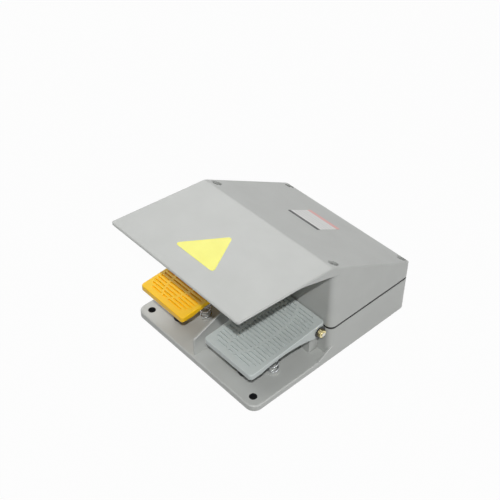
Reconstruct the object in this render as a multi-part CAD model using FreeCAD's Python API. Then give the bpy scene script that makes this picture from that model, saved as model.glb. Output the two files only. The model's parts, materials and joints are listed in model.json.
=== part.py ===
"""Guarded twin-pedal foot switch in a die-cast housing, in millimetres.

Origin at the middle of the underside, +X to the right, +Y to the rear, +Z up.
"""
import FreeCAD, Part
import math
import os

V = FreeCAD.Vector
X, Y, Z = V(1, 0, 0), V(0, 1, 0), V(0, 0, 1)

# Fits
slide_gap = 0.05        # radial clearance of a pin, screw or rod in its hole
rest_gap = 0.3          # between pieces that only come to rest on each other
over = 1.0              # a cutter runs this far past the face that it cuts

# Base casting: mounting plate and lower housing
base_width = 200.0
base_depth = 240.0
plate_height = 7.5
plate_corner = 11.0
plate_rounding = 1.8
housing_depth = 128.5   # the rear box, measured from the rear face
housing_corner = 8.0
housing_wall = 4.0
floor_height = 5.0
seam_height = 47.5      # middle of the seal between lower housing and cover
seal_thickness = 3.2
seal_inset = 0.4
hole_radius = 4.5       # two mounting holes
hole_from_side = 13.5
hole_from_front = 12.0

# Divider between the pedals and small gussets at the outer walls
divider_thickness = 2.6
divider_front = 3.5     # set back from the front edge of the plate
divider_nose_height = 31.3
divider_nose_rounding = 2.0
divider_rise = 21.5     # degrees
gusset_thickness = 2.8
gusset_reach = 15.5     # in front of the wall
gusset_rise = 30.0      # degrees
wall_edge = 0.7         # rounding along the upper edges of divider and gussets

# Cover with guard
cover_wall = 3.5
ridge_from_wall = 3.5   # the ridge stands in front of the housing's front wall
ridge_height = 139.8
ridge_rounding = 14.0
rear_height = 68.0
rear_rounding = 6.0
side_rounding = 1.4     # along the side edges of roof and guard
guard_reach = 20.0      # past the front edge of the plate
guard_front_height = 149.0
guard_thickness = 3.0
guard_corner = 5.0
guard_root_reach = 48.0  # the root thickens over this length
guard_root_depth = 13.5
guard_root_rounding = 60.0
guard_wall_rounding = 5.0

# Cover screws
cover_screw_radius = 2.5
cover_screw_from_side = 9.5
cover_screw_from_wall = 6.5
cover_screw_engagement = 16.0
cover_hole_depth = 18.0
screw_head_radius = 4.6
screw_head_height = 3.2
drive_slot = 1.0
counterbore_radius = 5.5
counterbore_margin = 0.8  # the head lies this far below the lip
column_radius = 7.0

# Pedals
pedal_from_middle = 18.5
pedal_from_side = 8.0
pedal_front = 3.5       # set back from the front edge of the plate
pedal_rear_gap = 1.0    # to the housing's front wall
pedal_front_height = 49.3
pedal_slope = 3.9       # degrees
pedal_thickness = 3.5
pedal_skirt = 3.5
pedal_front_skirt = 6.2
pedal_nose_length = 15.0  # straight stretch of the skirt's lower edge
pedal_arch_rise = 4.0   # the lower edge is arched between nose and ear
pedal_arch_balance = 31 / 76.5  # where along the arch its highest point lies
pedal_ear_drop = 6.0    # where the arch meets the ear, below the axle
pedal_corner = 4.0
pedal_edge = 1.0
pedal_travel = 10.0     # degrees
tread_rows = 21
tread_pitch = 4.61
tread_groove = 2.0
tread_depth = 1.6
tread_from_nose = 8.3   # middle of the first row
tread_margin = 4.8
tread_corner = 14.0
tread_bridge = 3.0
tread_oval_offset = -3.5
tread_oval_half_width = 16.5
tread_oval_half_length = 48.0
ear_radius = 8.0
ear_boss_length = 8.0

# Pedal pivot
axle_from_wall = 8.5
axle_height = 45.5
axle_radius = 4.0
axle_tip_radius = 2.5
axle_head_flats = 11.0
bush_wall = 1.5
bush_flange_radius = 7.0
bush_flange = 1.0
bracket_width = 7.5
bracket_head_radius = 6.2
bracket_foot_depth = 12.0
bracket_nose_height = 21.5  # the front edge is upright up to here
bracket_neck_drop = 3.0     # the neck starts this far below the axle
bracket_gap = 0.5
axle_washer_radius = 7.0
washer_thickness = 1.2
nut_flats = 8.5
nut_height = 3.6
nut_bevel = 1.0
axle_tip_past_nut = 1.0

# Return springs and stops
spring_spacing = 37.0
spring_from_wall = 59.5
spring_mean_radius = 6.0
spring_wire = 1.5
spring_turns = 5
spring_steps = 20       # straight runs in one turn
spring_wire_sides = 8
spring_seat_radius = 7.5
spring_seat_height = 1.5
spring_spigot_radius = 4.6
spring_spigot_height = 5.0
spring_top_height = 47.0
stop_balance = 24.5 / 48.5  # where the stop lies between the nose and the springs
stop_boss_radius = 5.0
stop_boss_bottom = 32.0
bumper_radius = 7.0
bumper_bevel = 1.5
bumper_stem_radius = 2.5
bumper_stem_length = 5.0
web_thickness = 2.5     # upper stop between the two brackets
web_height = 27.0

# Push rods from the pedal heels to the switches
rod_below_axle = 19.0
rod_radius = 3.5
rod_tip_reach = 6.2     # the rod's nose stands in front of the wall
rod_nose_bevel = 2.4
rod_inner_reach = 9.4   # the rod's tail stands behind the wall's outer face
guide_wall = 2.5
guide_flange_radius = 8.0
guide_flange = 2.0
guide_inner_reach = 5.5
clip_radius = 6.0
clip_thickness = 1.0
heel_width = 10.0
heel_thickness = 4.0
heel_below_rod = 4.5
hub_radius = 6.5

# Snap-action switches
switch_length = 49.0
switch_depth = 24.0
switch_width = 17.4
switch_corner = 2.0
switch_from_wall = 14.5
switch_hole_spacing = 25.4
switch_hole_depth = 14.4  # behind the face with the plunger
parting_from_face = 10.8
parting_width = 0.6
parting_depth = 0.4
small_screw_radius = 2.0
small_head_radius = 3.6
small_head_height = 2.6
pillar_radius = 4.5
plunger_radius = 2.5
plunger_bore_depth = 10.0
plunger_bevel = 0.8
plunger_spare = 1.5     # left in the bore when the plunger is pressed home
tab_width = 6.3
tab_thickness = 0.8
tab_length = 9.0
tab_spacing = 15.7
tab_hole_radius = 0.9
tab_hole_from_end = 3.0

# Terminal strip and earth point
strip_from_rear = 44.0
strip_ways = 4
strip_pitch = 11.0
strip_depth = 18.0
strip_height = 14.0
strip_floor = 7.0
strip_rib = 1.6
strip_lug_length = 10.0
strip_lug_height = 4.0
strip_pillar_height = 5.0
contact_width = 6.0
contact_thickness = 1.0
contact_margin = 1.0
clamp_head_radius = 2.6
clamp_head_height = 2.0
clamp_from_middle = 5.4
earth_from_middle = 44.0
earth_from_rear = 26.0
earth_boss_radius = 6.0
earth_boss_height = 6.0
earth_washer_radius = 6.5
blind_floor = 2.0       # left under each blind screw hole

# Cable gland in the rear wall
gland_height = 24.0
gland_thread_radius = 10.0
gland_thread_past_nut = 1.0
gland_flats = 24.0
gland_flange = 5.0
gland_neck_radius = 8.5
gland_neck_length = 9.0
gland_nut_height = 4.0
gland_cap_length = 15.0
gland_cap_flats = 23.0
gland_cap_tip_radius = 9.5
gland_cap_root_radius = 17.3
gland_cap_end = 4.0
gland_cap_mouth_radius = 5.5
gland_seal_radius = 6.5
gland_seal_length = 8.7
cable_radius = 3.5

# Worked-out places
half_width = base_width / 2
front = -base_depth / 2
rear = base_depth / 2
wall_y = rear - housing_depth
seal_bottom = seam_height - seal_thickness / 2
seal_top = seam_height + seal_thickness / 2
ridge_y = wall_y - ridge_from_wall
guard_tip = front - guard_reach
roof_drop = (ridge_height - rear_height) / (rear - ridge_y)
pedal_nose = front + pedal_front
pedal_tail = wall_y - pedal_rear_gap
pedal_width = half_width - pedal_from_middle - pedal_from_side
pedal_middle = pedal_from_middle + pedal_width / 2
pedal_rise = math.tan(math.radians(pedal_slope))
axle_y = wall_y - axle_from_wall
axle_yz = (axle_y, axle_height)
rod_z = axle_height - rod_below_axle
rod_travel = rod_below_axle * math.radians(pedal_travel)
spring_y = wall_y - spring_from_wall
stop_y = pedal_nose + (spring_y - pedal_nose) * stop_balance
heel_rear = wall_y - rod_tip_reach - rest_gap
heel_front = heel_rear - heel_thickness
switch_front = wall_y + switch_from_wall
switch_bottom = rod_z - switch_width / 2
strip_y = rear - strip_from_rear
strip_bottom = floor_height + strip_pillar_height
strip_half = strip_ways * strip_pitch / 2
earth_place = (earth_from_middle, rear - earth_from_rear)
earth_top = floor_height + earth_boss_height
high = max(ridge_height, guard_front_height) + over
sides = {"left": -1, "right": 1}


def box(x0, x1, y0, y1, z0, z1):
    return Part.makeBox(x1 - x0, y1 - y0, z1 - z0, V(x0, y0, z0))


def rod(radius, start, end):
    start, end = V(*start), V(*end)
    return Part.makeCylinder(radius, (end - start).Length, start, end - start)


def tube(outer, inner, start, end):
    return rod(outer, start, end).cut(rod(inner, start, end))


def along_x(radius, x0, x1, place=axle_yz):
    """Cylinder along X, at a place in Y and Z."""
    return rod(radius, (x0, *place), (x1, *place))


def along_y(radius, x, y0, y1, z=rod_z):
    return rod(radius, (x, y0, z), (x, y1, z))


def upright(radius, place, z0, z1):
    return rod(radius, (*place, z0), (*place, z1))


def hexagon(flats, start, end):
    """Hexagonal prism along the line from start to end."""
    start, end = V(*start), V(*end)
    corner = flats / 2 / math.cos(math.pi / 6)
    points = [V(corner * math.cos(a), corner * math.sin(a), 0)
              for a in (math.pi / 3 * k for k in range(7))]
    prism = Part.Face(Part.makePolygon(points)).extrude(V(0, 0, (end - start).Length))
    prism.Placement = FreeCAD.Placement(start, FreeCAD.Rotation(Z, end - start))
    return prism


def fuse(shapes):
    return shapes[0].multiFuse(shapes[1:]).removeSplitter()


def outline(corners, place):
    """Face with straight sides; a corner is (u, v) or (u, v, rounding radius)."""
    count = len(corners)
    starts, ends, middles = [], [], []
    for k, corner in enumerate(corners):
        here = V(corner[0], corner[1], 0)
        radius = corner[2] if len(corner) > 2 else 0
        before = V(*corners[k - 1][:2], 0) - here
        after = V(*corners[(k + 1) % count][:2], 0) - here
        before.normalize()
        after.normalize()
        half = before.getAngle(after) / 2
        inward = before + after
        if radius:
            inward.normalize()
        starts.append(here + before * (radius / math.tan(half)))
        ends.append(here + after * (radius / math.tan(half)))
        middles.append(here + inward * (radius / math.sin(half) - radius) if radius else None)
    edges = []
    for k in range(count):
        if middles[k] is not None:
            arc = [place(p.x, p.y) for p in (starts[k], middles[k], ends[k])]
            edges.append(Part.Arc(*arc).toShape())
        line = [place(p.x, p.y) for p in (ends[k], starts[(k + 1) % count])]
        edges.append(Part.LineSegment(*line).toShape())
    return Part.Face(Part.Wire(edges))


def side_prism(corners, x0, x1):
    """Outline in Y and Z, extruded along X."""
    return outline(corners, lambda y, z: V(x0, y, z)).extrude(V(x1 - x0, 0, 0))


def plan_prism(x0, x1, y0, y1, z0, z1, front_radius, rear_radius):
    """Upright block with rounded corners in plan."""
    corners = [(x0, y0, front_radius), (x1, y0, front_radius),
               (x1, y1, rear_radius), (x0, y1, rear_radius)]
    return outline(corners, lambda x, y: V(x, y, z0)).extrude(V(0, 0, z1 - z0))


def housing_block(inset, z0, z1):
    """Block with the housing's outline, drawn in by the inset on all four sides."""
    corner, reach = housing_corner - inset, half_width - inset
    return plan_prism(-reach, reach, wall_y + inset, rear - inset, z0, z1, corner, corner)


def mirrored(shape):
    return shape.mirror(V(0, 0, 0), X)


def edges_where(shape, test):
    return [e for e in shape.Edges if test(e)]


def screw(radius, head_radius, head_height, place, seat, bottom):
    """Cross-recessed pan-head screw, its head standing on the height of seat."""
    top, edge = seat + head_height, seat + head_height * 0.6
    crown = Part.makeCone(head_radius, head_radius * 0.8, top - edge, V(*place, edge), Z)
    body = fuse([upright(radius, place, bottom, seat), upright(head_radius, place, seat, edge), crown])
    x, y = place
    cross = [box(x - a, x + a, y - b, y + b, seat + head_height / 2, top + over)
             for a, b in ((head_radius * 0.6, drive_slot / 2), (drive_slot / 2, head_radius * 0.6))]
    return body.cut(fuse(cross))


def large_screw(place, seat, bottom):
    return screw(cover_screw_radius, screw_head_radius, screw_head_height, place, seat, bottom)


def small_screw(place, seat, bottom):
    return screw(small_screw_radius, small_head_radius, small_head_height, place, seat, bottom)


def roof_surface(y):
    """Height of the sloping rear roof above the base."""
    return ridge_height - roof_drop * (y - ridge_y)


def guard_surface(y):
    """Height of the guard's upper face, which rises to the front."""
    return ridge_height + (guard_front_height - ridge_height) * (ridge_y - y) / (ridge_y - guard_tip)


def pedal_top(y):
    return pedal_front_height + (y - pedal_nose) * pedal_rise


def cover_screw_places():
    """Plan places, with the height of each head's seat."""
    places = []
    for y in (wall_y + cover_screw_from_wall, rear - cover_screw_from_wall):
        seat = roof_surface(y + counterbore_radius) - counterbore_margin - screw_head_height
        places += [((side * (half_width - cover_screw_from_side), y), seat) for side in (-1, 1)]
    return places


def spring_places(middle):
    return [(middle + side * spring_spacing / 2, spring_y) for side in (-1, 1)]


def switch_screw_places(middle):
    y = switch_front + switch_hole_depth
    return [(middle + side * switch_hole_spacing / 2, y) for side in (-1, 1)]


def strip_screw_places():
    return [(side * (strip_half + strip_lug_length / 2), strip_y) for side in (-1, 1)]


def base_casting():
    plate = plan_prism(-half_width, half_width, front, rear, 0, plate_height, plate_corner, housing_corner)
    rim = edges_where(plate, lambda e: e.BoundBox.ZMin > plate_height - 1e-6)
    plate = plate.makeFillet(plate_rounding, rim)
    cavity = housing_block(housing_wall, floor_height, seal_bottom)
    columns = [upright(column_radius, place, 0, seal_bottom) for place, seat in cover_screw_places()]
    housing = housing_block(0, 0, seal_bottom).cut(cavity.cut(fuse(columns)))

    shapes = [plate, housing, side_gusset(), mirrored(side_gusset())]
    cuts = [along_y(gland_thread_radius + slide_gap, 0, rear - housing_wall - over, rear + over,
                    gland_height)]
    for side in sides.values():
        middle = side * pedal_middle
        shapes += [upright(pillar_radius, place, 0, switch_bottom) for place in switch_screw_places(middle)]
        cuts.append(along_y(rod_radius + guide_wall + slide_gap, middle, wall_y - over,
                            wall_y + housing_wall + over))
        cuts.append(upright(bumper_stem_radius + slide_gap, (middle, stop_y),
                            plate_height - bumper_stem_length - rest_gap, plate_height + over))
        cuts.append(upright(hole_radius, (side * (half_width - hole_from_side), front + hole_from_front),
                            -over, plate_height + over))
        cuts += [upright(small_screw_radius + slide_gap, place, blind_floor, switch_bottom + over)
                 for place in switch_screw_places(middle)]
    for place in strip_screw_places():
        shapes.append(upright(pillar_radius, place, 0, strip_bottom))
        cuts.append(upright(small_screw_radius + slide_gap, place, blind_floor, strip_bottom + over))
    shapes.append(upright(earth_boss_radius, earth_place, 0, earth_top))
    cuts.append(upright(cover_screw_radius + slide_gap, earth_place, blind_floor, earth_top + over))
    hole_bottom = seal_bottom - cover_hole_depth
    cuts += [upright(cover_screw_radius + slide_gap, place, hole_bottom, seal_bottom + over)
             for place, seat in cover_screw_places()]
    return fuse(shapes).cut(fuse(cuts))


def divider_wall():
    """Wall between the pedals: a low nose, then a straight rise to the housing."""
    nose = front + divider_front
    level = nose + (seal_bottom - divider_nose_height) / math.tan(math.radians(divider_rise))
    corners = [(nose, plate_height), (nose, divider_nose_height, divider_nose_rounding),
               (level, seal_bottom, 2 * divider_nose_rounding), (wall_y, seal_bottom),
               (wall_y, plate_height)]
    blank = side_prism(corners, -divider_thickness / 2, divider_thickness / 2)
    rims = edges_where(blank, lambda e: e.BoundBox.XLength < 1e-6 and e.BoundBox.ZMax > divider_nose_height
                       and e.BoundBox.YMin < wall_y - 1)
    return blank.makeFillet(wall_edge, rims)


def side_gusset():
    """Low triangle from the plate to the housing's front corner, on the right."""
    toe, root = wall_y - gusset_reach, wall_y + housing_corner
    top = plate_height + (root - toe) * math.tan(math.radians(gusset_rise))
    corners = [(root, 0), (root, top), (toe, plate_height), (toe, 0)]
    blank = side_prism(corners, half_width - gusset_thickness, half_width)
    return blank.makeFillet(wall_edge, edges_where(blank, lambda e: e.BoundBox.ZMin > plate_height - 1e-6
                                                   and e.BoundBox.ZLength > 1 and e.BoundBox.YLength > 1))


def pivot_bracket(middle):
    """Two upright ears in front of the housing, with the web that stops the heel between them."""
    foot = wall_y - bracket_foot_depth
    neck = axle_height - bracket_neck_drop
    head_front, head_rear = axle_y - bracket_head_radius, axle_y + bracket_head_radius
    corners = [(wall_y, plate_height), (wall_y, neck), (head_rear, axle_height), (head_front, axle_height),
               (head_front, neck), (foot, bracket_nose_height), (foot, plate_height)]
    reach = pedal_width / 2 - ear_boss_length - bush_flange - bracket_gap
    shapes = []
    for x in (middle - reach, middle + reach - bracket_width):
        shapes.append(side_prism(corners, x, x + bracket_width))
        shapes.append(along_x(bracket_head_radius, x, x + bracket_width))
    web_rear = heel_front - rest_gap
    shapes.append(box(middle - reach, middle + reach, web_rear - web_thickness, web_rear, plate_height,
                      web_height))
    return fuse(shapes).cut(along_x(axle_radius + slide_gap, middle - reach, middle + reach))


def spring_seats(middle):
    top = plate_height + spring_seat_height
    return Part.makeCompound([fuse([upright(spring_seat_radius, place, plate_height, top),
                                    upright(spring_spigot_radius, place, top, top + spring_spigot_height)])
                              for place in spring_places(middle)])


def cover_seal():
    """Flat gasket that follows the wall, with an eyelet at each cover screw."""
    outside = housing_block(seal_inset, seal_bottom, seal_top)
    ring = outside.cut(housing_block(housing_wall, seal_bottom, seal_top))
    eyelets, holes = [], []
    for place, seat in cover_screw_places():
        eyelets.append(upright(column_radius - seal_inset, place, seal_bottom, seal_top).common(outside))
        holes.append(upright(cover_screw_radius + slide_gap, place, seal_bottom, seal_top))
    return fuse([ring] + eyelets).cut(fuse(holes))


def top_cover():
    """Hollow shell with a sloping roof, and the guard that reaches over the pedals."""
    root_y = wall_y - guard_root_reach
    root_z = guard_surface(wall_y) - guard_root_depth
    corners = [(guard_tip, guard_front_height, side_rounding), (ridge_y, ridge_height, ridge_rounding),
               (rear, rear_height, rear_rounding), (rear, seal_top), (wall_y, seal_top),
               (wall_y, root_z, guard_wall_rounding),
               (root_y, guard_surface(root_y) - guard_thickness, guard_root_rounding),
               (guard_tip, guard_front_height - guard_thickness, side_rounding)]
    blank = side_prism(corners, -half_width, half_width)
    rims = edges_where(blank, lambda e: e.BoundBox.XLength < 1e-6 < e.BoundBox.ZMax - seal_top)
    blank = blank.makeFillet(side_rounding, rims)
    upper = plan_prism(-half_width, half_width, guard_tip, rear, root_z, high, guard_corner, housing_corner)
    outer = blank.common(fuse([upper, housing_block(0, seal_top, high)]))

    lift = cover_wall * math.sqrt(1 + roof_drop ** 2)
    under_roof = side_prism([(wall_y, 0), (wall_y, roof_surface(wall_y) - lift),
                             (rear, rear_height - lift), (rear, 0)], -half_width, half_width)
    cavity = housing_block(cover_wall, seal_top, high).common(under_roof)
    columns, holes = [], []
    for place, seat in cover_screw_places():
        columns.append(upright(column_radius, place, 0, high))
        holes.append(upright(cover_screw_radius + slide_gap, place, 0, high))
        holes.append(upright(counterbore_radius, place, seat, high))
    return outer.cut(cavity.cut(fuse(columns))).cut(fuse(holes))


def cover_screws():
    bottom = seal_bottom - cover_screw_engagement
    return Part.makeCompound([large_screw(place, seat, bottom) for place, seat in cover_screw_places()])


def tread_grooves(middle):
    """Rows of grooves across the pedal, broken along an oval, inside a rounded field."""
    half = pedal_width / 2 - tread_margin
    length = (tread_rows - 1) * tread_pitch
    grooves = []
    for row in range(tread_rows):
        s = row * tread_pitch - length / 2
        into_corner = max(0.0, abs(s) - (length / 2 + tread_groove - tread_corner))
        reach = half - tread_corner + math.sqrt(tread_corner ** 2 - min(into_corner, tread_corner) ** 2)
        stops = [-reach, reach]
        inside = 1 - (s / tread_oval_half_length) ** 2
        if inside > 0:
            swing = tread_oval_half_width * math.sqrt(inside)
            stops[1:1] = [tread_oval_offset - swing, tread_oval_offset + swing]
        for k in range(len(stops) - 1):
            x0 = stops[k] + (tread_bridge / 2 if k else 0)
            x1 = stops[k + 1] - (tread_bridge / 2 if k < len(stops) - 2 else 0)
            if x1 - x0 > tread_groove:
                grooves.append(box(x0, x1, s - tread_groove / 2, s + tread_groove / 2, -tread_depth, over))
    field = Part.makeCompound(grooves)
    centre = pedal_nose + tread_from_nose + length / 2
    place = V(middle, centre, pedal_top(centre))
    field.Placement = FreeCAD.Placement(place, FreeCAD.Rotation(X, pedal_slope))
    return field


def pedal_blank(middle):
    """Solid wedge with the pedal's outside: arched skirt, round ears and a rounded rim."""
    left, right = middle - pedal_width / 2, middle + pedal_width / 2
    skirt_z = pedal_front_height - pedal_front_skirt
    arch_start, arch_end = pedal_nose + pedal_nose_length, axle_y - ear_radius
    ear_z = axle_height - pedal_ear_drop
    crown_y = arch_start + (arch_end - arch_start) * pedal_arch_balance
    crown = V(left, crown_y, skirt_z + pedal_arch_rise)
    arch = Part.Arc(V(left, arch_start, skirt_z), crown, V(left, arch_end, ear_z)).toShape()
    rest = Part.makePolygon([V(left, y, z) for y, z in (
        (arch_end, ear_z), (axle_y, ear_z), (axle_y, axle_height), (pedal_tail, axle_height),
        (pedal_tail, pedal_top(pedal_tail)), (pedal_nose, pedal_top(pedal_nose)), (pedal_nose, skirt_z),
        (arch_start, skirt_z))])
    wedge = Part.Face(Part.Wire([arch] + rest.Edges)).extrude(V(pedal_width, 0, 0))
    plan = plan_prism(left, right, pedal_nose, pedal_tail, 0, high, pedal_corner, pedal_corner)
    blank = fuse([wedge, along_x(ear_radius, left, right)]).common(plan)
    rim = edges_where(blank, lambda e: abs(e.CenterOfMass.z - pedal_top(e.CenterOfMass.y)) < 0.05)
    return blank.makeFillet(pedal_edge, rim)


def pedal(middle):
    """Hollow casting with the heel that works the push rod, spring seats and a stop boss."""
    left, right = middle - pedal_width / 2, middle + pedal_width / 2
    inner_nose, past_tail = pedal_nose + pedal_skirt, pedal_tail + over
    under = side_prism([(inner_nose, 0), (inner_nose, pedal_top(inner_nose) - pedal_thickness),
                        (past_tail, pedal_top(past_tail) - pedal_thickness), (past_tail, 0)],
                       left + pedal_skirt, right - pedal_skirt)
    shapes = [pedal_blank(middle).cut(under)]
    plan = plan_prism(left, right, pedal_nose, pedal_tail, 0, high, pedal_corner, pedal_corner)
    ears = [(left, left + ear_boss_length), (right - ear_boss_length, right)]
    shapes += [along_x(ear_radius, *ends).common(plan) for ends in ears]

    heel_left, heel_right = middle - heel_width / 2, middle + heel_width / 2
    shapes.append(along_x(hub_radius, heel_left, heel_right))
    shapes.append(box(heel_left, heel_right, axle_y - hub_radius, axle_y + hub_radius, axle_height,
                      pedal_top(axle_y - hub_radius) - pedal_thickness / 2))
    shapes.append(box(heel_left, heel_right, heel_front, heel_rear, rod_z - heel_below_rod, axle_height))
    for place in spring_places(middle):
        inside_top = pedal_top(place[1]) - pedal_thickness / 2
        shapes.append(upright(spring_seat_radius, place, spring_top_height, inside_top))
        shapes.append(upright(spring_spigot_radius, place, spring_top_height - spring_spigot_height,
                              inside_top))
    shapes.append(upright(stop_boss_radius, (middle, stop_y), stop_boss_bottom,
                          pedal_top(stop_y) - pedal_thickness / 2))

    bores = [along_x(axle_radius + bush_wall, *ends) for ends in ears]
    bores.append(along_x(axle_radius + rest_gap, left + ear_boss_length, right - ear_boss_length))
    return fuse(shapes).cut(fuse(bores)).cut(tread_grooves(middle))


def pedal_bushes(middle):
    """Flanged bushes pressed into the pedal's ears from the inside."""
    shapes = []
    for side in (-1, 1):
        outer = middle + side * pedal_width / 2
        inner = outer - side * ear_boss_length
        flange = inner - side * bush_flange
        bush = fuse([along_x(axle_radius + bush_wall, outer, inner),
                     along_x(bush_flange_radius, inner, flange)])
        shapes.append(bush.cut(along_x(axle_radius + slide_gap, outer, flange)))
    return Part.makeCompound(shapes)


def axle_stack(middle, side):
    """X places along the axle on the way out: both faces of the washer, then the end of nut or head."""
    inner = middle + side * (pedal_width / 2 + rest_gap)
    outer = inner + side * washer_thickness
    return inner, outer, outer + side * nut_height


def axle(middle, side):
    """Shoulder bolt: the head is on the divider's side, the nut on the outside."""
    shoulder, seat, nut_end = axle_stack(middle, side)
    head_washer, head_seat, head_end = axle_stack(middle, -side)
    return fuse([along_x(axle_radius, head_seat, shoulder),
                 along_x(axle_tip_radius, shoulder, nut_end + side * axle_tip_past_nut),
                 hexagon(axle_head_flats, (head_seat, *axle_yz), (head_end, *axle_yz))])


def axle_washers(middle, side):
    shapes = []
    for way, hole in ((side, axle_tip_radius), (-side, axle_radius)):
        inner, outer, end = axle_stack(middle, way)
        shapes.append(tube(axle_washer_radius, hole + slide_gap, (inner, *axle_yz), (outer, *axle_yz)))
    return Part.makeCompound(shapes)


def axle_nut(middle, side):
    """Hexagon nut with a bevelled outer face."""
    inner, seat, end = axle_stack(middle, side)
    body = hexagon(nut_flats, (seat, *axle_yz), (end, *axle_yz))
    mouth = nut_flats / 2
    bevel = Part.makeCone(mouth + nut_height * nut_bevel, mouth, nut_height, V(seat, *axle_yz), X * side)
    return body.common(bevel).cut(along_x(axle_tip_radius + slide_gap, seat, end))


def return_spring(place):
    """Coil between the seats on plate and pedal; its wire is a fine prism along a many-sided helix."""
    bottom = plate_height + spring_seat_height + rest_gap + spring_wire / 2
    top = spring_top_height - rest_gap - spring_wire / 2
    runs = spring_turns * spring_steps
    points = []
    for k in range(runs + 1):
        turn = 2 * math.pi * k / spring_steps
        points.append(V(place[0] + spring_mean_radius * math.cos(turn),
                        place[1] + spring_mean_radius * math.sin(turn), bottom + (top - bottom) * k / runs))
    corner = spring_wire / 2 / math.cos(math.pi / spring_wire_sides)
    angles = [2 * math.pi * (k + 0.5) / spring_wire_sides for k in range(spring_wire_sides + 1)]
    section = Part.makePolygon([V(corner * math.cos(a), corner * math.sin(a), 0) for a in angles])
    section.Placement = FreeCAD.Placement(points[0], FreeCAD.Rotation(Z, points[1] - points[0]))
    mitred = 1
    return Part.makePolygon(points).makePipeShell([section], True, False, mitred)


def stop_bumper(middle):
    """Rubber buffer on the plate, just reached by the pedal's boss at full travel."""
    turn = math.radians(pedal_travel)
    arm, drop = stop_y - axle_y, stop_boss_bottom - axle_height
    boss_bottom = axle_height + arm * math.sin(turn) + drop * math.cos(turn)
    top = boss_bottom - stop_boss_radius * math.sin(turn) - rest_gap
    stem_end = plate_height - bumper_stem_length
    body = fuse([upright(bumper_radius, (middle, stop_y), plate_height, top),
                 upright(bumper_stem_radius, (middle, stop_y), stem_end, plate_height)])
    return body.makeChamfer(bumper_bevel, edges_where(body, lambda e: e.BoundBox.ZMin > top - 1e-6))


def push_rod(middle):
    start = wall_y - rod_tip_reach
    body = along_y(rod_radius, middle, start, wall_y + rod_inner_reach)
    return body.makeChamfer(rod_nose_bevel, edges_where(body, lambda e: e.BoundBox.YMax < start + 1e-6))


def rod_guide(middle):
    """Flanged sleeve in the housing's front wall."""
    outer, inner = wall_y - guide_flange, wall_y + guide_inner_reach
    body = fuse([along_y(guide_flange_radius, middle, outer, wall_y),
                 along_y(rod_radius + guide_wall, middle, outer, inner)])
    return body.cut(along_y(rod_radius + slide_gap, middle, outer - over, inner + over))


def rod_clip(middle):
    """Ring on the rod that holds it in its guide."""
    start = wall_y + guide_inner_reach + rest_gap
    return tube(clip_radius, rod_radius, (middle, start, rod_z), (middle, start + clip_thickness, rod_z))


def switch_body(middle):
    """Moulded case with a parting line, two screw holes and the plunger's bore."""
    left, right = middle - switch_length / 2, middle + switch_length / 2
    top = switch_bottom + switch_width
    case = box(left, right, switch_front, switch_front + switch_depth, switch_bottom, top)
    corners = edges_where(case, lambda e: e.BoundBox.ZLength > switch_width - 1e-6)
    case = case.makeFillet(switch_corner, corners)
    parting = switch_front + parting_from_face
    cuts = [box(left - over, right + over, parting, parting + parting_width, top - parting_depth,
                top + over),
            along_y(plunger_radius + slide_gap, middle, switch_front - over,
                    switch_front + plunger_bore_depth)]
    cuts += [upright(small_screw_radius + slide_gap, place, switch_bottom - over, top + over)
             for place in switch_screw_places(middle)]
    return case.cut(fuse(cuts))


def switch_plunger(middle):
    """Moulded button that the push rod presses into the switch."""
    start = wall_y + rod_inner_reach + rest_gap
    end = switch_front + plunger_bore_depth - rod_travel - plunger_spare
    body = along_y(plunger_radius, middle, start, end)
    return body.makeChamfer(plunger_bevel, edges_where(body, lambda e: e.BoundBox.YMax < start + 1e-6))


def switch_terminals(middle):
    """Three blade terminals at the back of the switch."""
    root = switch_front + switch_depth
    tip = root + tab_length
    bottom, top = rod_z - tab_thickness / 2, rod_z + tab_thickness / 2
    shapes = []
    for k in (-1, 0, 1):
        x = middle + k * tab_spacing
        blade = box(x - tab_width / 2, x + tab_width / 2, root, tip, bottom, top)
        shapes.append(blade.cut(upright(tab_hole_radius, (x, tip - tab_hole_from_end), bottom, top)))
    return Part.makeCompound(shapes)


def switch_screws(middle):
    return Part.makeCompound([small_screw(place, switch_bottom + switch_width, blind_floor + rest_gap)
                              for place in switch_screw_places(middle)])


def terminal_strip():
    """Moulded block with ribs between its ways and a screw lug at each end."""
    y0, y1 = strip_y - strip_depth / 2, strip_y + strip_depth / 2
    top, reach = strip_bottom + strip_height, strip_half + strip_lug_length
    shapes = [box(-strip_half, strip_half, y0, y1, strip_bottom, strip_bottom + strip_floor),
              box(-reach, reach, y0, y1, strip_bottom, strip_bottom + strip_lug_height)]
    for k in range(strip_ways + 1):
        x = k * strip_pitch - strip_half
        shapes.append(box(x - strip_rib / 2, x + strip_rib / 2, y0, y1, strip_bottom, top))
    holes = [upright(small_screw_radius + slide_gap, place, strip_bottom - over, top)
             for place in strip_screw_places()]
    return fuse(shapes).cut(fuse(holes))


def strip_contacts():
    """A plated bar with its two clamp screws in each way of the strip."""
    seat = strip_bottom + strip_floor
    top = seat + contact_thickness
    reach = strip_depth / 2 - contact_margin
    shapes = []
    for k in range(strip_ways):
        x = (k + 0.5) * strip_pitch - strip_half
        bar = box(x - contact_width / 2, x + contact_width / 2, strip_y - reach, strip_y + reach, seat, top)
        heads = [upright(clamp_head_radius, (x, y), top, top + clamp_head_height)
                 for y in (strip_y - clamp_from_middle, strip_y + clamp_from_middle)]
        shapes.append(fuse([bar] + heads))
    return Part.makeCompound(shapes)


def strip_screws():
    return Part.makeCompound([small_screw(place, strip_bottom + strip_lug_height, blind_floor + rest_gap)
                              for place in strip_screw_places()])


def earth_screw():
    return large_screw(earth_place, earth_top + washer_thickness, blind_floor + rest_gap)


def earth_washer():
    top = earth_top + washer_thickness
    hole = cover_screw_radius + slide_gap
    return tube(earth_washer_radius, hole, (*earth_place, earth_top), (*earth_place, top))


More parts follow.
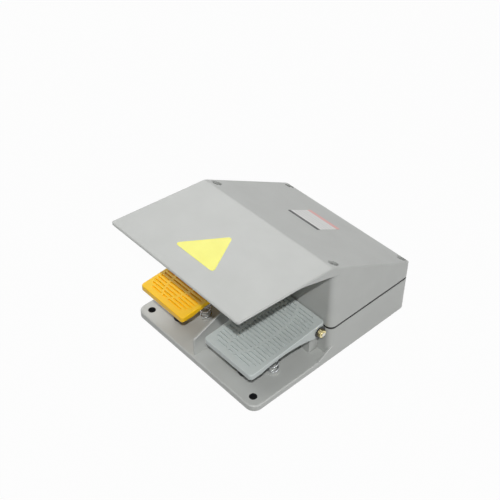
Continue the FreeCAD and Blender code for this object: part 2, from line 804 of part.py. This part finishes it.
def gland_body():
    """Threaded sleeve through the wall, with six flats outside and a neck for the cap."""
    inside = rear - housing_wall - gland_nut_height - gland_thread_past_nut
    face = rear + gland_flange
    tip = face + gland_neck_length
    body = fuse([along_y(gland_thread_radius, 0, inside, rear, gland_height),
                 hexagon(gland_flats, (0, rear, gland_height), (0, face, gland_height)),
                 along_y(gland_neck_radius, 0, rear, tip, gland_height)])
    return body.cut(along_y(gland_seal_radius + slide_gap, 0, inside - over, tip + over, gland_height))


def gland_lock_nut():
    seat = rear - housing_wall
    nut = hexagon(gland_flats, (0, seat - gland_nut_height, gland_height), (0, seat, gland_height))
    return nut.cut(along_y(gland_thread_radius + slide_gap, 0, seat - gland_nut_height, seat, gland_height))


def gland_cap_nut():
    """Domed cap with six flats, screwed over the gland's neck."""
    start = rear + gland_flange + rest_gap
    end = rear + gland_flange + gland_cap_length
    body = hexagon(gland_cap_flats, (0, start, gland_height), (0, end, gland_height))
    dome = Part.makeCone(gland_cap_root_radius, gland_cap_tip_radius, end - start,
                         V(0, start, gland_height), Y)
    body = body.common(dome)
    body = body.cut(along_y(gland_neck_radius + slide_gap, 0, start, end - gland_cap_end, gland_height))
    return body.cut(along_y(gland_cap_mouth_radius, 0, start, end + over, gland_height))


def gland_seal():
    """Rubber sleeve around the cable's place, squeezed by the cap."""
    end = rear + gland_flange + gland_cap_length - gland_cap_end - rest_gap
    start = end - gland_seal_length
    return tube(gland_seal_radius, cable_radius, (0, start, gland_height), (0, end, gland_height))


def save(name, shape):
    if not shape.isValid():
        raise ValueError("bad solid: " + name)
    shape.exportStep("parts/" + name + ".step")
    size = shape.BoundBox
    print(name, len(shape.Solids), round(shape.Volume), [round(c, 1) for c in (
        size.XMin, size.YMin, size.ZMin, size.XMax, size.YMax, size.ZMax)])


os.makedirs("parts", exist_ok=True)
save("base_casting", base_casting())
save("divider_wall", divider_wall())
save("top_cover", top_cover())
save("cover_seal", cover_seal())
save("cover_screws", cover_screws())
for side_name, side in sides.items():
    centre = side * pedal_middle
    save(side_name + "_pivot_bracket", pivot_bracket(centre))
    save(side_name + "_spring_seats", spring_seats(centre))
    save(side_name + "_pedal", pedal(centre))
    save(side_name + "_pedal_bushes", pedal_bushes(centre))
    save(side_name + "_axle", axle(centre, side))
    save(side_name + "_axle_washers", axle_washers(centre, side))
    save(side_name + "_axle_nut", axle_nut(centre, side))
    for spring_name, place in zip(("left", "right"), spring_places(centre)):
        save(side_name + "_pedal_" + spring_name + "_spring", return_spring(place))
    save(side_name + "_stop_bumper", stop_bumper(centre))
    save(side_name + "_push_rod", push_rod(centre))
    save(side_name + "_rod_clip", rod_clip(centre))
    save(side_name + "_rod_guide", rod_guide(centre))
    save(side_name + "_switch_body", switch_body(centre))
    save(side_name + "_switch_plunger", switch_plunger(centre))
    save(side_name + "_switch_terminals", switch_terminals(centre))
    save(side_name + "_switch_screws", switch_screws(centre))
save("terminal_strip", terminal_strip())
save("terminal_strip_contacts", strip_contacts())
save("terminal_strip_screws", strip_screws())
save("earth_screw", earth_screw())
save("earth_washer", earth_washer())
save("gland_body", gland_body())
save("gland_lock_nut", gland_lock_nut())
save("gland_cap_nut", gland_cap_nut())
save("gland_seal", gland_seal())
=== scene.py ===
"""Looks of a guarded twin-pedal foot switch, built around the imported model, in metres."""
import json
import math

import bmesh
import bpy
from mathutils import Euler, Matrix, Vector


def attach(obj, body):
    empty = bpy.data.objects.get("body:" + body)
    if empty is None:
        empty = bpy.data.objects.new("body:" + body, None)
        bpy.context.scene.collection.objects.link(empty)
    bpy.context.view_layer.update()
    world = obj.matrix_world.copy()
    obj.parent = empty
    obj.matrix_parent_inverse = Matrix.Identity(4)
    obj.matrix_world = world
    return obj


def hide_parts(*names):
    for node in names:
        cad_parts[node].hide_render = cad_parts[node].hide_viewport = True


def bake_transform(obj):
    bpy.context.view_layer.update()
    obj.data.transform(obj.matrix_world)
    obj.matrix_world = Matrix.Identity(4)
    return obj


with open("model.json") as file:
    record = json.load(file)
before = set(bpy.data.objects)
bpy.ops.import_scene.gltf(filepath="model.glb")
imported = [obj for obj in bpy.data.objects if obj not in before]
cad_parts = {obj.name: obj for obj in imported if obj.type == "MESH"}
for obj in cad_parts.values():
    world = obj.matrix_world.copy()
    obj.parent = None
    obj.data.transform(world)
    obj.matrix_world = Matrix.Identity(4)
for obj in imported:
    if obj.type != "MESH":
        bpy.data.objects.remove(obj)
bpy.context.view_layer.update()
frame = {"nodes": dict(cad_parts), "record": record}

bpy.ops.object.select_all(action="DESELECT")
mm = 0.001

# Places repeated from the part's source
guard_tip = Vector((0, -140 * mm, 149 * mm))
ridge = Vector((0, -12 * mm, 139.8 * mm))
rear_edge = Vector((0, 120 * mm, 68 * mm))
pedal_middle = 55.25 * mm
floor_hole = Vector((86.5 * mm, -108 * mm, 0))
floor_hole_radius = 4.5 * mm
plate_height = 7.5 * mm


# Mesh helpers

def edit(piece):
    bpy.ops.object.select_all(action="DESELECT")
    piece.select_set(True)
    bpy.context.view_layer.objects.active = piece
    bpy.ops.object.mode_set(mode="EDIT")


def done():
    bpy.ops.object.mode_set(mode="OBJECT")


def pick_faces(piece, test):
    """In edit mode, selects the faces whose middle and normal pass the test."""
    bpy.ops.mesh.select_mode(type="FACE")
    mesh = bmesh.from_edit_mesh(piece.data)
    for face in mesh.faces:
        face.select_set(bool(test(face.calc_center_median(), face.normal)))
    mesh.select_flush_mode()
    bmesh.update_edit_mesh(piece.data)


def apply_modifier(piece, kind, **settings):
    bpy.ops.object.select_all(action="DESELECT")
    piece.select_set(True)
    bpy.context.view_layer.objects.active = piece
    modifier = piece.modifiers.new(kind.lower(), kind)
    for key, value in settings.items():
        setattr(modifier, key, value)
    bpy.ops.object.modifier_apply(modifier=modifier.name)


def name_piece(name):
    piece = bpy.context.active_object
    piece.name = name
    piece.data.name = name
    return piece


def place_mesh(piece, move):
    """Moves the mesh itself, so that the object stays at the origin."""
    piece.data.transform(piece.matrix_world)
    piece.matrix_world = Matrix.Identity(4)
    piece.data.transform(move)
    return piece


def copy_piece(piece, name, offset):
    twin = piece.copy()
    twin.data = piece.data.copy()
    twin.name = twin.data.name = name
    bpy.context.scene.collection.objects.link(twin)
    return place_mesh(twin, Matrix.Translation(offset))


def join(pieces, name):
    bpy.ops.object.select_all(action="DESELECT")
    for piece in pieces:
        piece.select_set(True)
    bpy.context.view_layer.objects.active = pieces[0]
    bpy.ops.object.join()
    return name_piece(name)


def smooth(piece, degrees=35):
    bpy.ops.object.select_all(action="DESELECT")
    piece.select_set(True)
    bpy.context.view_layer.objects.active = piece
    bpy.ops.object.shade_smooth_by_angle(angle=math.radians(degrees))


def on_slope(start, end, along):
    """Turns a piece that is flat on XY so that it lies on the slope from start to end."""
    line = (end - start).normalized()
    turn = Matrix.Rotation(math.atan2(line.z, line.y), 4, "X")
    return Matrix.Translation(start + line * along) @ turn



# Materials

def linear(code):
    """sRGB hex colour to linear RGBA."""
    parts = [int(code[k:k + 2], 16) / 255 for k in (1, 3, 5)]
    return [c / 12.92 if c <= 0.04045 else ((c + 0.055) / 1.055) ** 2.4 for c in parts] + [1.0]


def add_node(tree, kind, inputs=None, **settings):
    """Adds a node; an input that is a socket is linked, anything else is its value."""
    node = tree.nodes.new(kind)
    for key, value in settings.items():
        setattr(node, key, value)
    for key, value in (inputs or {}).items():
        if isinstance(value, bpy.types.NodeSocket):
            tree.links.new(value, node.inputs[key])
        else:
            node.inputs[key].default_value = value
    return node


def new_material(name):
    material = bpy.data.materials.new(name)
    material.use_nodes = True
    tree = material.node_tree
    tree.nodes.clear()
    return material, tree, add_node(tree, "ShaderNodeTexCoord").outputs["Object"]


def clouded(tree, coords, size_mm, detail, light, dark, edges=(0.3, 0.7)):
    """Noise of the given size, and the colour that it mixes between dark and light."""
    cloud = add_node(tree, "ShaderNodeTexNoise", {
        "Vector": coords, "Scale": 1 / (size_mm * mm), "Detail": detail}).outputs["Fac"]
    colour = add_node(tree, "ShaderNodeValToRGB", {"Fac": cloud})
    for element, place, code in zip(colour.color_ramp.elements, edges, (dark, light)):
        element.position = place
        element.color = linear(code)
    return cloud, colour.outputs["Color"]


def grained(tree, coords, size_mm, detail):
    return add_node(tree, "ShaderNodeTexNoise", {
        "Vector": coords, "Scale": 1 / (size_mm * mm), "Detail": detail}).outputs["Fac"]


def relief(tree, height, strength, depth_mm):
    return add_node(tree, "ShaderNodeBump", {
        "Height": height, "Strength": strength, "Distance": depth_mm * mm}).outputs["Normal"]


def uneven(tree, value, low, high):
    """Spreads the middle of a noise over the range from low to high."""
    return add_node(tree, "ShaderNodeMapRange", {
        "Value": value, "From Min": 0.3, "From Max": 0.7, "To Min": low, "To Max": high}).outputs["Result"]


def finish_material(material, tree, inputs):
    shader = add_node(tree, "ShaderNodeBsdfPrincipled", inputs)
    add_node(tree, "ShaderNodeOutputMaterial", {"Surface": shader.outputs["BSDF"]})
    return material


def in_floor_holes(tree, coords):
    """1 inside the two floor holes of the plate, else 0."""
    place = add_node(tree, "ShaderNodeSeparateXYZ", {"Vector": coords})
    across = add_node(tree, "ShaderNodeMath", {0: place.outputs["X"]}, operation="ABSOLUTE")
    folded = add_node(tree, "ShaderNodeCombineXYZ", {"X": across.outputs["Value"], "Y": place.outputs["Y"]})
    away = add_node(tree, "ShaderNodeVectorMath", {0: folded.outputs["Vector"], 1: floor_hole},
                    operation="DISTANCE")
    near = add_node(tree, "ShaderNodeMath", {0: away.outputs["Value"], 1: floor_hole_radius + 0.1 * mm},
                    operation="LESS_THAN")
    low = add_node(tree, "ShaderNodeMath", {0: place.outputs["Z"], 1: plate_height - 0.2 * mm},
                   operation="LESS_THAN")
    return add_node(tree, "ShaderNodeMath", {0: near.outputs["Value"], 1: low.outputs["Value"]},
                    operation="MULTIPLY").outputs["Value"]


def powder_coat(name, light, dark, bore_shade=None):
    """Satin polyester powder coat on die-cast aluminium, baked.

    It gives a soft wide sheen, a faint orange peel and a barely uneven grey. Real peel is about
    1 mm across and shows in no full view, so it is drawn 2 to 3 mm across. Where a bore colour is
    given, the bores of the floor holes are painted that dark colour, as painted shade inside them.
    """
    material, tree, coords = new_material(name)
    _, colour = clouded(tree, coords, 35, 3.0, light, dark)
    peel = grained(tree, coords, 2.4, 2.0)
    if bore_shade:
        # Painted shade: inside the floor holes the colour is swapped for the dark bore colour.
        bore = in_floor_holes(tree, coords)
        colour = add_node(tree, "ShaderNodeMix", {0: bore, 6: colour, 7: linear(bore_shade)},
                          data_type="RGBA").outputs[2]
    return finish_material(material, tree, {
        "Base Color": colour, "Roughness": uneven(tree, peel, 0.36, 0.44),
        "Normal": relief(tree, peel, 0.12, 0.05), "IOR": 1.52})


def plated_steel(name, light, dark, roughness, grain_mm):
    """Zinc-plated or bright steel: metal with faint crystal clouds and rolled grain."""
    material, tree, coords = new_material(name)
    cloud, colour = clouded(tree, coords, grain_mm, 4.0, light, dark, (0.35, 0.65))
    return finish_material(material, tree, {
        "Base Color": colour, "Metallic": 1.0,
        "Roughness": uneven(tree, cloud, roughness - 0.06, roughness + 0.06),
        "Normal": relief(tree, cloud, 0.15, 0.03)})


def moulding(name, light, dark, roughness, grain_mm, ior):
    """Moulded plastic or rubber: a fine spark-eroded grain and a soft even sheen."""
    material, tree, coords = new_material(name)
    grain = grained(tree, coords, grain_mm, 3.0)
    _, colour = clouded(tree, coords, 12, 2.0, light, dark)
    return finish_material(material, tree, {
        "Base Color": colour, "Roughness": uneven(tree, grain, roughness - 0.05, roughness + 0.05),
        "Normal": relief(tree, grain, 0.3, 0.03), "IOR": ior})


def vinyl_film(name, light, dark):
    """Cast vinyl under a clear laminate: an even strong colour with a glossy skin and a slight ripple."""
    material, tree, coords = new_material(name)
    cloud, colour = clouded(tree, coords, 18, 2.0, light, dark)
    return finish_material(material, tree, {
        "Base Color": colour, "Roughness": 0.3, "Normal": relief(tree, cloud, 0.1, 0.05), "IOR": 1.5})


def printed_foil(name, top, length, bands):
    """Anodised foil printed in plain bands across the slope, which begin at the top edge."""
    material, tree, coords = new_material(name)
    line = (rear_edge - ridge).normalized()
    down = add_node(tree, "ShaderNodeVectorMath", {0: coords, 1: line}, operation="DOT_PRODUCT")
    first = ridge.dot(line) + top
    share = add_node(tree, "ShaderNodeMapRange", {"Value": down.outputs["Value"], "From Min": first,
                                                  "From Max": first + length})
    colour = add_node(tree, "ShaderNodeValToRGB", {"Fac": share.outputs["Result"]})
    ramp = colour.color_ramp
    ramp.interpolation = "CONSTANT"
    ramp.elements.remove(ramp.elements[1])
    ramp.elements[0].color = linear(bands[0][1])
    for start, code in bands[1:]:
        ramp.elements.new(start / length).color = linear(code)
    grain = grained(tree, coords, 0.8, 2.0)
    return finish_material(material, tree, {
        "Base Color": colour.outputs["Color"], "Roughness": 0.38,
        "Normal": relief(tree, grain, 0.08, 0.02), "IOR": 1.5})


casting_grey = ("#BCBEBB", "#B7B9B6")
slot_materials = {
    "painted_casting": powder_coat("grey_powder_coat", *casting_grey),
    "yellow_paint": powder_coat("yellow_powder_coat", "#FFCB08", "#FBC205"),
    "seal_rubber": moulding("black_nitrile_rubber", "#1A1A1A", "#131313", 0.7, 0.7, 1.52),
    "zinc_steel": plated_steel("zinc_plated_steel", "#DAD8CE", "#BDBAB0", 0.3, 1.6),
    "spring_steel": plated_steel("bright_spring_steel", "#C4C6C8", "#A0A2A5", 0.25, 1.0),
    "bronze": plated_steel("sintered_bronze", "#B88A55", "#8F6638", 0.45, 0.5),
    "switch_moulding": moulding("black_phenolic", "#1F1C1B", "#171514", 0.42, 0.6, 1.6),
    "plunger_moulding": moulding("red_acetal", "#A8201A", "#971B16", 0.35, 0.9, 1.48),
    "strip_moulding": moulding("natural_polyamide", "#E4DFCF", "#D9D3C1", 0.5, 0.8, 1.53),
    "contact_brass": plated_steel("tinned_brass", "#D8C28A", "#BFA76E", 0.32, 1.2),
    "black_moulding": moulding("black_polyamide", "#1C1C1C", "#151515", 0.5, 0.8, 1.53),
    "yellow_zinc_steel": plated_steel("yellow_passivated_zinc", "#EFE3B4", "#DCCB90", 0.3, 1.6),
    "zinc_flake_steel": plated_steel("zinc_flake_coating", "#8C8E8C", "#737573", 0.5, 0.9),
}
pedal_paint = powder_coat("cool_grey_powder_coat", "#C2C9C7", "#BDC4C2")
decal_film = vinyl_film("yellow_vinyl_film", "#F4F05A", "#EFEA50")
label_top, label_length = 67 * mm, 43 * mm
label_foil = printed_foil("banded_label_foil", label_top, label_length, [
    (0, "#1D1D1F"), (5 * mm, "#E4E4E2"), (11 * mm, "#B9B9B8"), (11.7 * mm, "#E4E4E2"),
    (17 * mm, "#B9B9B8"), (17.7 * mm, "#E4E4E2"), (23 * mm, "#B9B9B8"), (23.7 * mm, "#E4E4E2"),
    (29 * mm, "#B9B9B8"), (29.7 * mm, "#E4E4E2"), (36 * mm, "#E0A9A6")])

for subpart in frame["record"]["subparts"]:
    node = frame["nodes"][subpart["node"]]
    node.data.materials.clear()
    node.data.materials.append(slot_materials[subpart["material_slot"]])
frame["nodes"]["right_pedal"].data.materials[0] = pedal_paint
# The base casting's floor-hole bores get a near-black colour as painted shade.
frame["nodes"]["base_casting"].data.materials[0] = powder_coat(
    "grey_powder_coat_with_painted_bore_shade", *casting_grey, bore_shade="#26272A")


# Return springs: round wire with a closed turn at each end

def return_spring(name):
    wire, mean_radius = 1.5 * mm, 6 * mm
    bottom, top = 9.3 * mm, 46.7 * mm
    active_turns = 4
    height = bottom + wire / 2
    rise = top - bottom - 3 * wire
    runs = []
    for turns, pitch in ((1, wire), (active_turns, rise / active_turns), (1, wire)):
        bpy.ops.mesh.primitive_circle_add(vertices=10, radius=wire / 2, rotation=(math.pi / 2, 0, 0),
                                          location=(mean_radius, 0, height))
        run = name_piece(name)
        place_mesh(run, Matrix.Identity(4))
        apply_modifier(run, "SCREW", axis="Z", angle=2 * math.pi, iterations=turns, screw_offset=pitch,
                       steps=30, render_steps=30)
        runs.append(run)
        height += turns * pitch
    spring = join(runs, name)
    edit(spring)
    bpy.ops.mesh.select_all(action="SELECT")
    bpy.ops.mesh.remove_doubles(threshold=0.02 * mm)
    bpy.ops.mesh.fill_holes(sides=0)
    bpy.ops.mesh.select_all(action="SELECT")
    bpy.ops.mesh.normals_make_consistent(inside=False)
    done()
    smooth(spring, 50)
    spring.data.materials.append(slot_materials["spring_steel"])
    return spring


def add_springs():
    pattern = return_spring("spring_pattern")
    spacing, depth_place = 18.5 * mm, -68 * mm
    for side, middle in (("left", -pedal_middle), ("right", pedal_middle)):
        for end, way in (("left", -1), ("right", 1)):
            place = Vector((middle + way * spacing, depth_place, 0))
            spring = copy_piece(pattern, side + "_pedal_" + end + "_coil", place)
            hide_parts(side + "_pedal_" + end + "_spring")
            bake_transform(spring)
    bpy.data.objects.remove(pattern)


# Cover screws: domed pan heads with a cross recess

def cover_screw(name):
    """One screw with its head's seat at the origin and a short shank below."""
    head_radius, side_height, shank_radius = 4.6 * mm, 1.6 * mm, 2.5 * mm
    shank_length, shank_chamfer = 4 * mm, 0.5 * mm
    dome_steps = ((0.3, 0.55), (0.7, 0.6), (1.1, 0.33), (1.3, 0.12))
    recess_size, recess_middle, recess_taper = (5.2 * mm, 1.0 * mm, 3.0 * mm), 3.0 * mm, 0.6
    bpy.ops.mesh.primitive_cylinder_add(vertices=40, radius=head_radius, depth=side_height,
                                        location=(0, 0, side_height / 2))
    screw = name_piece(name)
    place_mesh(screw, Matrix.Identity(4))
    edit(screw)
    pick_faces(screw, lambda middle, normal: normal.z > 0.9)
    for inset, lift in dome_steps:
        bpy.ops.mesh.inset(thickness=inset * mm)
        bpy.ops.transform.translate(value=(0, 0, lift * mm))
    pick_faces(screw, lambda middle, normal: normal.z < -0.9)
    bpy.ops.mesh.inset(thickness=head_radius - shank_radius)
    bpy.ops.mesh.extrude_region_move(TRANSFORM_OT_translate={"value": (0, 0, -shank_length)})
    bpy.ops.mesh.inset(thickness=shank_chamfer)
    bpy.ops.transform.translate(value=(0, 0, -shank_chamfer))
    done()
    for turn in (0, math.pi / 2):
        bpy.ops.mesh.primitive_cube_add(size=1, scale=recess_size, location=(0, 0, recess_middle),
                                        rotation=(0, 0, turn))
        cutter = name_piece("recess_cutter")
        place_mesh(cutter, Matrix.Identity(4))
        edit(cutter)
        pick_faces(cutter, lambda middle, normal: normal.z < -0.9)
        bpy.ops.transform.resize(value=(recess_taper, recess_taper, 1.0))
        done()
        apply_modifier(screw, "BOOLEAN", object=cutter, operation="DIFFERENCE", solver="EXACT")
        bpy.data.objects.remove(cutter)
    smooth(screw, 40)
    screw.data.materials.append(slot_materials["zinc_flake_steel"])
    return screw


def add_cover_screws():
    pattern = cover_screw("screw_pattern")
    screw_end = 29.9 * mm
    counterbore_radius, seat_depth, modelled_length = 5.5 * mm, 4 * mm, 4.5 * mm
    from_middle = 90.5 * mm
    slope = (ridge.z - rear_edge.z) / (rear_edge.y - ridge.y)
    for row, y in (("front", -2 * mm), ("rear", 113.5 * mm)):
        seat = ridge.z - slope * (y + counterbore_radius - ridge.y) - seat_depth
        for side, x in (("left", -from_middle), ("right", from_middle)):
            screw = copy_piece(pattern, row + "_" + side + "_cover_screw", Vector((x, y, seat)))
            for vertex in screw.data.vertices:
                if vertex.co.z < seat - 3 * mm:
                    vertex.co.z += screw_end - (seat - modelled_length)
            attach(screw, "frame")
            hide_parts("cover_screws")
    bpy.data.objects.remove(pattern)


# Films stuck to the cover

def film(name, thickness, corner, edge, segments=6):
    """Gives the flat outline that was just added rounded corners, thickness and a pressed rim."""
    piece = name_piece(name)
    place_mesh(piece, Matrix.Identity(4))
    edit(piece)
    bpy.ops.mesh.select_all(action="SELECT")
    bpy.ops.mesh.bevel(offset=corner, segments=segments, affect="VERTICES")
    bpy.ops.mesh.select_all(action="SELECT")
    bpy.ops.mesh.extrude_region_move(TRANSFORM_OT_translate={"value": (0, 0, thickness)})
    bpy.ops.mesh.inset(thickness=edge)
    bpy.ops.transform.translate(value=(0, 0, -thickness / 4))
    bpy.ops.mesh.select_all(action="SELECT")
    bpy.ops.mesh.normals_make_consistent(inside=False)
    done()
    return piece


def add_films():
    decal_side, decal_base = 61.5 * mm, 30 * mm
    bpy.ops.mesh.primitive_circle_add(vertices=3, radius=decal_side / math.sqrt(3), fill_type="NGON")
    decal = film("guard_decal", 0.2 * mm, 6.2 * mm, 1.0 * mm)
    centroid = decal_base + decal_side * math.sqrt(3) / 6
    place_mesh(decal, on_slope(guard_tip, ridge, centroid) @ Matrix.Translation((-0.5 * mm, 0, 0)))
    decal.data.materials.append(decal_film)

    bpy.ops.mesh.primitive_plane_add(size=1)
    bpy.context.active_object.scale = (47 * mm, label_length, 1)
    bpy.context.view_layer.update()
    label = film("roof_label", 0.25 * mm, 1.2 * mm, 0.5 * mm, 4)
    place_mesh(label, on_slope(ridge, rear_edge, label_top + label_length / 2)
               @ Matrix.Translation((-2 * mm, 0, 0)))
    label.data.materials.append(label_foil)
    for piece in (decal, label):
        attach(piece, "frame")


# Studio: floor, lamps, surroundings and camera

def camera_like_rays(tree):
    """1 where a camera, mirror or see-through ray meets the surface, else 0."""
    path = add_node(tree, "ShaderNodeLightPath")
    rays = [path.outputs["Is " + kind + " Ray"] for kind in ("Camera", "Glossy", "Transmission")]
    either = add_node(tree, "ShaderNodeMath", {0: rays[0], 1: rays[1]}, operation="MAXIMUM").outputs["Value"]
    return add_node(tree, "ShaderNodeMath", {0: either, 1: rays[2]}, operation="MAXIMUM").outputs["Value"]


def add_floor():
    """Pale paper with a dark dot under each floor hole, painted there as painted shade where the plate
    shades it.
    """
    bpy.ops.mesh.primitive_plane_add(size=24, location=(0, 0, -0.1 * mm))
    floor = name_piece("studio_floor")
    material = bpy.data.materials.new("white_floor_paper_with_painted_hole_shade")
    material.use_nodes = True
    tree = material.node_tree
    tree.nodes.clear()
    white = add_node(tree, "ShaderNodeEmission", {"Color": (1, 1, 1, 1), "Strength": 1.0})
    coords = add_node(tree, "ShaderNodeTexCoord").outputs["Object"]
    # Painted shade: under the floor holes the paper goes near-black and the white lift is turned off.
    in_hole = in_floor_holes(tree, coords)
    shade = add_node(tree, "ShaderNodeMapRange", {"Value": in_hole, "To Min": floor_colour, "To Max": 0.02})
    paper = add_node(tree, "ShaderNodeBsdfDiffuse", {"Color": shade.outputs["Result"]})
    lift = add_node(tree, "ShaderNodeMapRange", {"Value": in_hole, "To Min": floor_lift, "To Max": 0.0})
    share = add_node(tree, "ShaderNodeMath", {0: camera_like_rays(tree), 1: lift.outputs["Result"]},
                     operation="MULTIPLY")
    mix = add_node(tree, "ShaderNodeMixShader", {0: share.outputs["Value"], 1: paper.outputs["BSDF"],
                                                 2: white.outputs["Emission"]})
    add_node(tree, "ShaderNodeOutputMaterial", {"Surface": mix.outputs["Shader"]})
    floor.data.materials.append(material)


def add_world():
    world = bpy.data.worlds.new("white_studio")
    bpy.context.scene.world = world
    world.use_nodes = True
    tree = world.node_tree
    tree.nodes.clear()
    room = add_node(tree, "ShaderNodeBackground", {"Color": (1, 1, 1, 1), "Strength": room_level})
    white = add_node(tree, "ShaderNodeBackground", {"Color": (1, 1, 1, 1), "Strength": 1.0})
    mix = add_node(tree, "ShaderNodeMixShader", {0: camera_like_rays(tree), 1: room.outputs["Background"],
                                                 2: white.outputs["Background"]})
    add_node(tree, "ShaderNodeOutputWorld", {"Surface": mix.outputs["Shader"]})


def add_lamp(name, toward, distance, width, height, watts):
    lamp = bpy.data.lights.new(name, "AREA")
    lamp.shape = "ELLIPSE"
    lamp.size, lamp.size_y = width, height
    lamp.energy = watts
    holder = bpy.data.objects.new(name, lamp)
    bpy.context.scene.collection.objects.link(holder)
    direction = Vector(toward).normalized()
    holder.location = direction * distance + Vector((0, 0, object_middle))
    holder.rotation_euler = direction.to_track_quat("Z", "Y").to_euler()


def add_camera():
    camera = bpy.data.cameras.new("view")
    camera.lens = 66.43
    camera.sensor_width = 36.0
    holder = bpy.data.objects.new("view", camera)
    bpy.context.scene.collection.objects.link(holder)
    holder.location = (0.5476, -0.5310, 0.7619)
    holder.rotation_euler = Euler((math.radians(48.69), 0, math.radians(47.77)))
    bpy.context.scene.camera = holder


object_middle = 0.06
room_level = 0.01
floor_colour = 0.35
floor_lift = 0.97
add_camera()
add_world()
add_floor()
for lamp in (
        ("key", (0.800, -0.748, 1.235), 1.65, 0.04, 0.04, 15.2),
        ("back_softbox", (-0.556, 0.593, 0.583), 1.8, 1.4, 0.8, 10.4),
        ("right_softbox", (0.95, 0.22, 0.14), 1.6, 1.0, 0.4, 7.0),
        ("top_softbox", (-0.1, -0.55, 0.95), 1.6, 0.8, 0.8, 5.2),
        ("left_softbox", (-0.95, 0.10, 0.16), 1.6, 1.0, 0.4, 5.5)):
    add_lamp(*lamp)
add_springs()
add_cover_screws()
add_films()
bpy.context.scene.view_settings.view_transform = "Standard"
